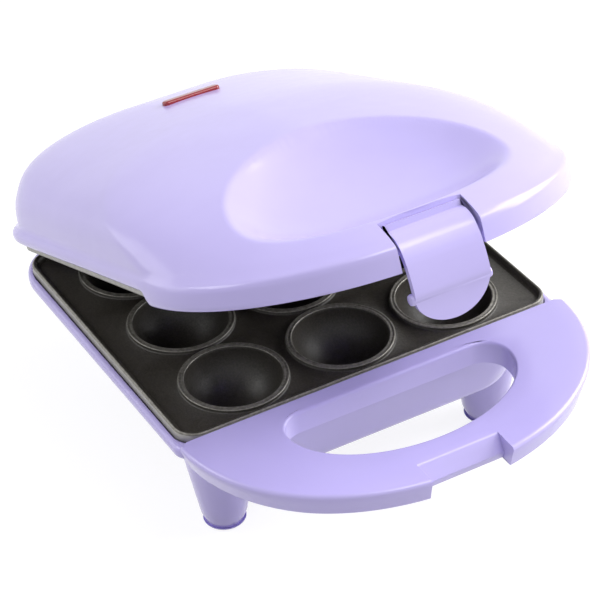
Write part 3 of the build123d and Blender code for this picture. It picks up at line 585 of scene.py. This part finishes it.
def handle_mesh():
    """One closed band of columns round the finger hole, notched at the front."""
    top, low = -0.2, -9.9
    arc = resample(quarter(HANDLE_A, HANDLE_B, 2.1, 400), 300)
    arc_order = np.argsort(arc[:, 0])

    def outer_point(x):
        return -float(np.interp(abs(x), arc[arc_order, 0], arc[arc_order, 1]))

    hole = quarter(HOLE_HALF, HOLE_DEPTH - HOLE_CORNER, 2.0, 400)
    hole_order = np.argsort(hole[:, 0])

    def hole_point(x):
        reach = np.interp(min(abs(x), HOLE_HALF), hole[hole_order, 0], hole[hole_order, 1])
        return HOLE_BACK - HOLE_CORNER - float(reach)

    # outer places round the front, with doubled columns at the notch
    stations = []
    for p in resample(arc, 90):
        if p[0] > NOTCH + 0.5:
            stations.append((p[0], False))
    stations.append((NOTCH, False))
    for x in np.linspace(NOTCH, 0, 12):
        stations.append((float(x), True))
    mirrored = [(-x, n) for x, n in stations[:-1][::-1]]
    stations = stations + mirrored

    def hole_rim(inner, inner_dir):
        """Points up the finger hole's wall and over its rim."""
        inner = np.array(inner, float)
        pts = [(*inner, low), (*inner, top - 1.6)]
        for inset, drop in reversed(fillet_steps(1.3, 5)):
            pts.append((*(inner - inner_dir * inset), top - drop))
        return pts

    def column(inner, outer, inner_dir, outer_dir, notched, x):
        """Points from under the hole's rim, over the top, to under the outer edge."""
        pts = hole_rim(inner, inner_dir)
        inner, outer = np.array(inner, float), np.array(outer, float)
        span = outer - inner
        if notched:
            back = np.array((x, -59.0))
            for t in (0.35, 0.75):
                pts.append((*(inner + (back - inner) * t), top))
            ramp = [(-58.8, -0.2), (-59.4, -0.35), (-60.0, -1.0), (-61.2, -2.7), (-62.6, -4.5),
                    (-63.7, -5.8), (-64.1, -6.4), (-64.0, -7.0), (-62.8, -9.9)]
            for y, z in ramp:
                pts.append((x, y, z))
        else:
            draft = 2.0 + 1.0 * float(smooth_step(55.0, 84.0, abs(x)))
            for t in (0.35, 0.75):
                pts.append((*(inner + span * t), top))
            for inset, drop in fillet_steps(1.7, 6):
                pts.append((*(outer + outer_dir * inset), top - drop))
            pts.append((*(outer + outer_dir * 0.45 * draft), top - 5.0))
            pts.append((*(outer + outer_dir * draft), low))
        ends = []
        for px, py, pz in pts:
            py = min(py, BACK_EDGE)
            near = max(py - BACK_EDGE + END_ROUND, 0.0) if abs(px) > 78 else 0.0
            px -= math.copysign(END_ROUND - math.sqrt(END_ROUND ** 2 - near ** 2), px)
            ends.append((px, py, pz))
        return ends

    def bar_column(inner, inner_dir, xo):
        """The same stations, but down a straight back wall behind the hole."""
        pts = hole_rim(inner, inner_dir)
        for t in (0.35, 0.75):
            pts.append((inner[0] + (xo - inner[0]) * t, inner[1] + (BACK_EDGE - inner[1]) * t, top))
        heights = [top - drop for inset, drop in fillet_steps(1.7, 6)] + [top - 5.0, low]
        return pts + [(xo, BACK_EDGE, z) for z in heights]

    def hole_back():
        """Places and inward directions round the hole's back, from left to right."""
        turns = [(-1, 180 - 90 * k / 8) for k in range(9)] + [(1, 90 - 90 * k / 8) for k in range(9)]
        places = []
        for side, turn in turns:
            a = math.radians(turn)
            c = np.array((side * (HOLE_HALF - HOLE_CORNER), HOLE_BACK - HOLE_CORNER))
            d = np.array((math.cos(a), math.sin(a)))
            places.append((c + d * HOLE_CORNER, -d))
        return places

    cols = []
    for x, notched in stations:
        yo = outer_point(x)
        xi = abs(x) if abs(x) < 20 else 20 + 28.5 * (abs(x) - 20) / 66.0
        xi = math.copysign(min(xi, HOLE_HALF), x)
        yi = hole_point(xi)
        eps = 0.4
        if abs(x) < 84:
            tangent = np.array((2 * eps, outer_point(abs(x) + eps) - outer_point(abs(x) - eps)))
            normal = np.array((tangent[1], -tangent[0]))
            normal /= np.linalg.norm(normal)
            normal[0] = math.copysign(abs(normal[0]), x)
            normal[1] = -abs(normal[1])
        else:
            normal = np.array((math.copysign(1.0, x), 0.0))
        centre = np.array((0.0, -24.0))
        hole_dir = centre - np.array((xi, yi))
        hole_dir /= np.linalg.norm(hole_dir)
        if abs(xi) >= 48.4:
            hole_dir = np.array((-math.copysign(1.0, x), 0.0))
        cols.append(column((xi, yi), (x, yo), hole_dir, -normal, notched, x))
    places = hole_back()
    for k, (place, inward) in enumerate(places):
        cols.append(bar_column(place, inward, (HANDLE_A - 4.5) * (2 * k / (len(places) - 1) - 1)))
    n = len(cols)
    rows = len(cols[0])
    points = np.array(cols, float).reshape(-1, 3)
    faces = []
    for j in range(n):
        k = (j + 1) % n
        for i in range(rows - 1):
            faces.append((j * rows + i, j * rows + i + 1, k * rows + i + 1, k * rows + i))
        faces.append((j * rows + rows - 1, j * rows, k * rows, k * rows + rows - 1))
    return points, faces


LEGS = [(sx * half, y) for sx in (-1, 1) for half, y in ((60.8, 16.5), (50.0, PLATE_DEPTH - 17.0))]


def leg_mesh(x, y):
    """A tapered leg with a rounded foot, open below for its pad."""
    def radius(z):
        return 8.4 + (z + 59.5) * math.tan(math.radians(9.7))

    profile = [(6.05, -58.4), (6.05, -59.85), (6.6, -59.85)]
    for inset, lift in reversed(fillet_steps(1.2, 6)):
        profile.append((radius(-59.8 + lift) - inset, -59.8 + lift))
    for z in (-54.0, -48.0, -42.0, -36.0, -30.0, -22.0, -12.0):
        profile.append((radius(z), z))
    return lathe(profile, x, y)


def lug_mesh(x0, x1):
    """A hinge lug: a rounded block on the base's rear with a barrel at the hinge axis."""
    profile = [(144.5, -19.0), (154.0, -19.0), (156.8, -16.5), (157.4, -12.0), (157.4, -7.0)]
    for k in range(9):
        a = math.radians(-20 + 180 * k / 8)
        profile.append((HINGE_Y + 4.2 * math.cos(a), HINGE_Z + 4.2 * math.sin(a)))
    profile += [(144.5, -4.5)]
    return prism_x(profile, x0, x1)


base_parts = [body_mesh()]
for side in (-1, 1):
    for near, far in ((44.5, 49.4), (58.6, 63.5)):
        base_parts.append(lug_mesh(*sorted((side * near, side * far))))
base_shell = make_object("base_shell", *join_parts(base_parts), [lavender], sharp=40.0)
handle_shell = make_object("handle_shell", *handle_mesh(), [lavender], sharp=38.0)
legs = make_object("legs", *join_parts([leg_mesh(x, y) for x, y in LEGS]), [lavender], sharp=40.0)
inside = [ring_at(tub_outline(z, 2.0), z) for z in (TUB_BOTTOM + 2.0, 0.0)]
boolean(legs, rings_to_mesh(inside))
clean(legs, 40.0)


# --- Plates -----------------------------------------------------------------------------------
def sheet_round_cups(inset, radius, z, angle):
    """A flat sheet with a round hole for each cup, in nine cells whose corners meet."""
    half = PLATE_HALF - inset
    corner = PLATE_CORNER - inset
    middle = PLATE_DEPTH / 2
    xs = [-half, -CUP_X[2] / 2, CUP_X[2] / 2, half]
    ys = [inset, (CUP_Y[0] + CUP_Y[1]) / 2, (CUP_Y[1] + CUP_Y[2]) / 2, PLATE_DEPTH - inset]
    cells = []
    for i, cx in enumerate(CUP_X):
        for j, cy in enumerate(CUP_Y):
            aims = angle.copy()
            for x in xs[i:i + 2]:
                for y in ys[j:j + 2]:
                    aim = math.atan2(y - cy, x - cx) % (2 * math.pi)
                    aims[np.argmin(np.abs(aims - aim))] = aim
            outer = []
            for a in aims:
                dx, dy = math.cos(a), math.sin(a)
                tx = (xs[i + (dx > 0)] - cx) / dx if abs(dx) > 1e-9 else 1e9
                ty = (ys[j + (dy > 0)] - cy) / dy if abs(dy) > 1e-9 else 1e9
                px, py = cx + dx * min(tx, ty), cy + dy * min(tx, ty)
                qx = max(abs(px) - (half - corner), 0.0)
                qy = max(abs(py - middle) - (middle - inset - corner), 0.0)
                d = math.hypot(qx, qy)
                if qx > 0 and qy > 0 and d > corner:
                    px = math.copysign(abs(px) - qx + qx * corner / d, px)
                    py = middle + math.copysign(abs(py - middle) - qy + qy * corner / d, py - middle)
                outer.append((px, py))
            hole = np.column_stack([cx + radius * np.cos(angle), cy + radius * np.sin(angle)])
            rings = np.concatenate([ring_at(hole, z), ring_at(np.array(outer), z)])
            cells.append((rings, grid_faces(2, len(angle), True)))
    return join_parts(cells)


def plate_object(name, flip):
    """A rimmed tray with nine ringed cups; flip turns it over for the lid."""
    rim_z, floor_z, under_z = -0.25, -2.6, -4.8
    parts, slots = [], []

    def add(mesh, slot):
        parts.append(mesh)
        slots.extend([slot] * len(mesh[1]))

    def outline(inset):
        return rounded_rect(
            PLATE_HALF - inset, inset, PLATE_DEPTH - inset, max(PLATE_CORNER - inset, 0.5), 12, 8
        )

    rows = [(0.3, under_z), (0.0, under_z + 0.4), (0.0, rim_z - 0.8), (0.25, rim_z - 0.25), (0.7, rim_z),
            (1.2, rim_z), (1.65, rim_z - 0.25), (1.95, rim_z - 0.8), (2.15, floor_z + 0.9),
            (2.6, floor_z + 0.3), (3.3, floor_z)]
    rings = [ring_at(outline(i), z) for i, z in rows]
    cols = len(rings[0])
    add((np.concatenate(rings[:3]), grid_faces(3, cols, True)), 2)
    # the rim's rounded edge gets the lighter grey, which is partly painted highlight
    add((np.concatenate(rings[2:5]), grid_faces(3, cols, True)), 1)
    add((np.concatenate(rings[4:]), grid_faces(len(rings) - 4, cols, True)), 0)
    ring_profile = [(22.1, floor_z), (21.85, floor_z + 0.2), (21.7, floor_z + 0.7), (21.65, -1.35),
                    (21.45, -1.08), (21.15, -1.0), (20.9, -1.05), (20.65, -1.2), (20.4, -1.22),
                    (20.15, -1.15), (19.9, -1.05), (19.65, -1.0), (19.4, -1.1), (19.22, -1.35)]
    seg = 96
    angle = np.linspace(0, 2 * math.pi, seg, endpoint=False)

    def circle(cx, cy, r, z):
        return np.column_stack([cx + r * np.cos(angle), cy + r * np.sin(angle), np.full(seg, z)])

    bowl = []
    for k in range(1, 24):
        a = math.radians(4.2 + (90 - 4.2) * k / 24)
        bowl.append((CUP_R * math.cos(a), -CUP_R * math.sin(a)))
    bowl.append((0.0, -CUP_R))
    for cx in CUP_X:
        for cy in CUP_Y:
            lip = [circle(cx, cy, r, z) for r, z in ring_profile]
            add((np.concatenate(lip[:4]), grid_faces(4, seg, True)), 0)
            # the ring's top gets the same lighter grey, partly painted highlight
            add((np.concatenate(lip[3:]), grid_faces(len(lip) - 3, seg, True)), 1)
            cup = [lip[-1]] + [circle(cx, cy, max(r, 0.0), z) for r, z in bowl]
            add((np.concatenate(cup), grid_faces(len(cup), seg, True)), 0)
    add(sheet_round_cups(3.3, 22.1, floor_z, angle), 0)
    add(sheet_round_cups(0.3, CUP_OUTER_R * math.cos(CUP_OUTER_START), under_z, angle), 0)
    for cx in CUP_X:
        for cy in CUP_Y:
            rings = []
            for k in range(13):
                a = CUP_OUTER_START + (math.pi / 2 - CUP_OUTER_START) * k / 12
                rings.append(circle(cx, cy, CUP_OUTER_R * math.cos(a), -CUP_OUTER_R * math.sin(a)))
            add(rings_to_mesh(rings, False), 0)
    points, faces = join_parts(parts)
    if flip:
        points[:, 2] *= -1.0
    return make_object(name, points, faces, [nonstick, edge_bare_and_highlight, side_metal], lid=flip, sharp=45.0,
                       face_slots=slots)


plate_low = plate_object("lower_plate_surface", False)
plate_up = plate_object("upper_plate_surface", True)


# --- Latch -------------------------------------------------------------------------------------
LATCH_HALF, LATCH_THICK = 15.6, 2.3


def latch_mesh():
    """The flap: one loop of points per place across it, down the outside and up the inside."""
    outer = [(-59.6, 13.4), (-61.7, 13.7), (-64.4, 12.9), (-66.4, 11.8), (-67.9, 10.5), (-69.0, 8.9),
             (-69.9, 7.0), (-70.8, 4.9), (-71.5, 2.6), (-72.0, -0.2), (-72.4, -3.2), (-72.65, -6.2),
             (-72.7, -8.6), (-72.5, -9.6), (-72.0, -10.6)]
    outer = resample(outer, 40)
    xs = -LATCH_HALF * np.cos(np.linspace(0.08, math.pi - 0.08, 60))
    xs = np.concatenate([[-LATCH_HALF], xs, [LATCH_HALF]])
    solid = []
    for x in xs:
        drop = 12.4 * math.sqrt(max(1 - (x / LATCH_HALF) ** 2, 0.0))
        reach = -9.5 - drop + 10.6
        tongue = []
        for k in range(1, 9):
            bow = 2.2 * (1 - math.exp(-(k / 8) * abs(reach) / 5.0))
            tongue.append((-72.0 + bow, -10.6 + reach * k / 8))
        if drop <= 1.2:
            tongue = [(-72.0, -10.6)] * 8
        line = np.array([tuple(p) for p in outer] + tongue)
        d = np.gradient(line, axis=0)
        d /= np.maximum(np.linalg.norm(d, axis=1, keepdims=True), 1e-6)
        inward = np.column_stack([-d[:, 1], d[:, 0]])
        # the inside lies to the back (+y) of the outside
        inward *= np.sign(inward[:, :1] * 1.0 + inward[:, 1:] * -0.001 + 1e-9)
        inward[:, 0] = np.abs(inward[:, 0])
        loop = np.concatenate([line, (line + inward * LATCH_THICK)[::-1]])
        solid.append(np.column_stack([np.full(len(loop), x), loop]))
    n = len(solid)
    rows = len(solid[0])
    points = np.concatenate(solid)
    faces = []
    for j in range(n - 1):
        for i in range(rows):
            k = (i + 1) % rows
            faces.append((j * rows + i, j * rows + k, (j + 1) * rows + k, (j + 1) * rows + i))
    faces.append(tuple(range(rows)))
    faces.append(tuple((n - 1) * rows + i for i in range(rows))[::-1])
    return points, faces


barrel = rod_x(3.4, -LATCH_HALF, LATCH_HALF, -63.5, 8.0)
thumb_bar = rod_x(2.2, -LATCH_HALF - 1.3, LATCH_HALF + 1.3, -69.8, -10.3, 1.0)
latch_parts = [latch_mesh(), barrel, thumb_bar]
latch_flap = make_object("latch_flap", *join_parts(latch_parts), [lavender], lid=True, sharp=40.0)


# --- Who rides on what ------------------------------------------------------------------------
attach(lid_shell, "lid")
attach(lid_ribs, "lid")
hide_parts("lid_casing")
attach(base_shell, "base")
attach(handle_shell, "base")
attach(legs, "base")
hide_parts("lower_casing")
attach(plate_low, "base")
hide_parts("lower_plate")
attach(plate_up, "lid")
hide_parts("upper_plate")
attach(latch_flap, "latch")
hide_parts("latch")

NODE_MATERIALS = {
    "lower_element": heater, "upper_element": heater, "lower_element_clamps": steel,
    "upper_element_clamps": steel, "lower_clamp_screws": steel, "upper_clamp_screws": steel,
    "lower_plate_screws": steel, "upper_plate_screws": steel, "lower_reflector": sheet_metal,
    "upper_reflector": sheet_metal, "thermal_fuse": steel, "thermostat": steel,
    "terminal_block": pale_plastic, "cord_gland": dark_plastic, "foot_pads": pad_rubber,
    "hinge_pins": steel, "latch_pin": steel, "indicator_lens": lens_red, "lamp_holder": dark_plastic,
    "neon_lamp": lamp_glass,
}
for node, material in NODE_MATERIALS.items():
    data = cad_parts[node].data
    data.materials.clear()
    data.materials.append(material)


# --- Camera, lights, floor ---------------------------------------------------------------------
camera_data = bpy.data.cameras.new("camera")
camera = bpy.data.objects.new("camera", camera_data)
bpy.context.scene.collection.objects.link(camera)
camera_data.sensor_width = 36.0
camera_data.lens = 36.0 * 2471.197 / 600.0
camera_data.clip_end = 50.0
right = Vector((0.868265, -0.493610, -0.049645))
up = Vector((0.323054, 0.486619, 0.811688))
back = Vector((-0.376500, -0.720798, 0.581978))
place = Matrix((right, up, back)).transposed().to_4x4()
place.translation = Vector((-373.986, -709.998, 634.560)) * MM
camera.matrix_world = place
bpy.context.scene.camera = camera

bpy.context.scene.view_settings.view_transform = "Standard"



def seen_ray(tree):
    """1 for the rays that see the backdrop's own white: camera, glossy and transmission."""
    path = tree.nodes.new("ShaderNodeLightPath")
    seen = path.outputs["Is Camera Ray"]
    for name in ("Is Glossy Ray", "Is Transmission Ray"):
        either = tree.nodes.new("ShaderNodeMath")
        either.operation = "MAXIMUM"
        tree.links.new(seen, either.inputs[0])
        tree.links.new(path.outputs[name], either.inputs[1])
        seen = either.outputs["Value"]
    return seen


world = bpy.data.worlds.new("world")
bpy.context.scene.world = world
world.use_nodes = True
nt = world.node_tree
background = nt.nodes["Background"]
background.inputs["Color"].default_value = (0.93, 0.94, 1.0, 1)
background.inputs["Strength"].default_value = 0.3
white = nt.nodes.new("ShaderNodeBackground")
white.inputs["Color"].default_value = (1, 1, 1, 1)
white.inputs["Strength"].default_value = 1.0
mix = nt.nodes.new("ShaderNodeMixShader")
nt.links.new(seen_ray(nt), mix.inputs["Fac"])
nt.links.new(background.outputs["Background"], mix.inputs[1])
nt.links.new(white.outputs["Background"], mix.inputs[2])
nt.links.new(mix.outputs["Shader"], nt.nodes["World Output"].inputs["Surface"])

floor_mesh = bpy.data.meshes.new("floor")
floor_mesh.from_pydata([(-3, -3, 0), (3, -3, 0), (3, 3, 0), (-3, 3, 0)], [], [(0, 1, 2, 3)])
floor = bpy.data.objects.new("floor", floor_mesh)
bpy.context.scene.collection.objects.link(floor)
floor_mat = bpy.data.materials.new("floor")
floor_mat.use_nodes = True
floor_mesh.materials.append(floor_mat)
fnt = floor_mat.node_tree
lit = fnt.nodes["Principled BSDF"]
lit.inputs["Base Color"].default_value = (0.62, 0.62, 0.62, 1)
lit.inputs["Roughness"].default_value = 0.8
# what the camera sees: mostly the floor's own white, with a little of the object's shadow
glow = fnt.nodes.new("ShaderNodeEmission")
glow.inputs["Color"].default_value = (1, 1, 1, 1)
glow.inputs["Strength"].default_value = 0.86
seen = fnt.nodes.new("ShaderNodeBsdfDiffuse")
seen.inputs["Color"].default_value = (0.24, 0.24, 0.24, 1)
adds = fnt.nodes.new("ShaderNodeAddShader")
fmix = fnt.nodes.new("ShaderNodeMixShader")
fnt.links.new(seen.outputs["BSDF"], adds.inputs[0])
fnt.links.new(glow.outputs["Emission"], adds.inputs[1])
fnt.links.new(seen_ray(fnt), fmix.inputs["Fac"])
fnt.links.new(lit.outputs["BSDF"], fmix.inputs[1])
fnt.links.new(adds.outputs["Shader"], fmix.inputs[2])
fnt.links.new(fmix.outputs["Shader"], fnt.nodes["Material Output"].inputs["Surface"])


def area_light(name, location, target, size, power, size_y=None, color=(1, 1, 1)):
    data = bpy.data.lights.new(name, "AREA")
    data.energy = power
    data.color = color
    data.size = size
    if size_y:
        data.shape = "RECTANGLE"
        data.size_y = size_y
    light = bpy.data.objects.new(name, data)
    bpy.context.scene.collection.objects.link(light)
    light.location = location
    look = Vector(target) - Vector(location)
    light.rotation_euler = look.to_track_quat("-Z", "Y").to_euler()
    return light


area_light("key", (1.05, -0.2, 0.62), (0.0, -0.04, 0.1), 1.0, 16.5, 0.9)
area_light("top", (-0.1, -0.1, 1.5), (0, 0, 0.1), 1.4, 2.0, 1.0)
area_light("left", (-1.0, 0.5, 1.0), (0, 0, 0.12), 0.9, 6.0, 0.6)
area_light("rear left", (-0.95, 1.0, 0.35), (0, 0, 0.1), 1.1, 2.4, 0.6)
area_light("front", (0.35, -0.8, 1.5), (0, -0.08, 0.05), 0.9, 10.5, 0.6)
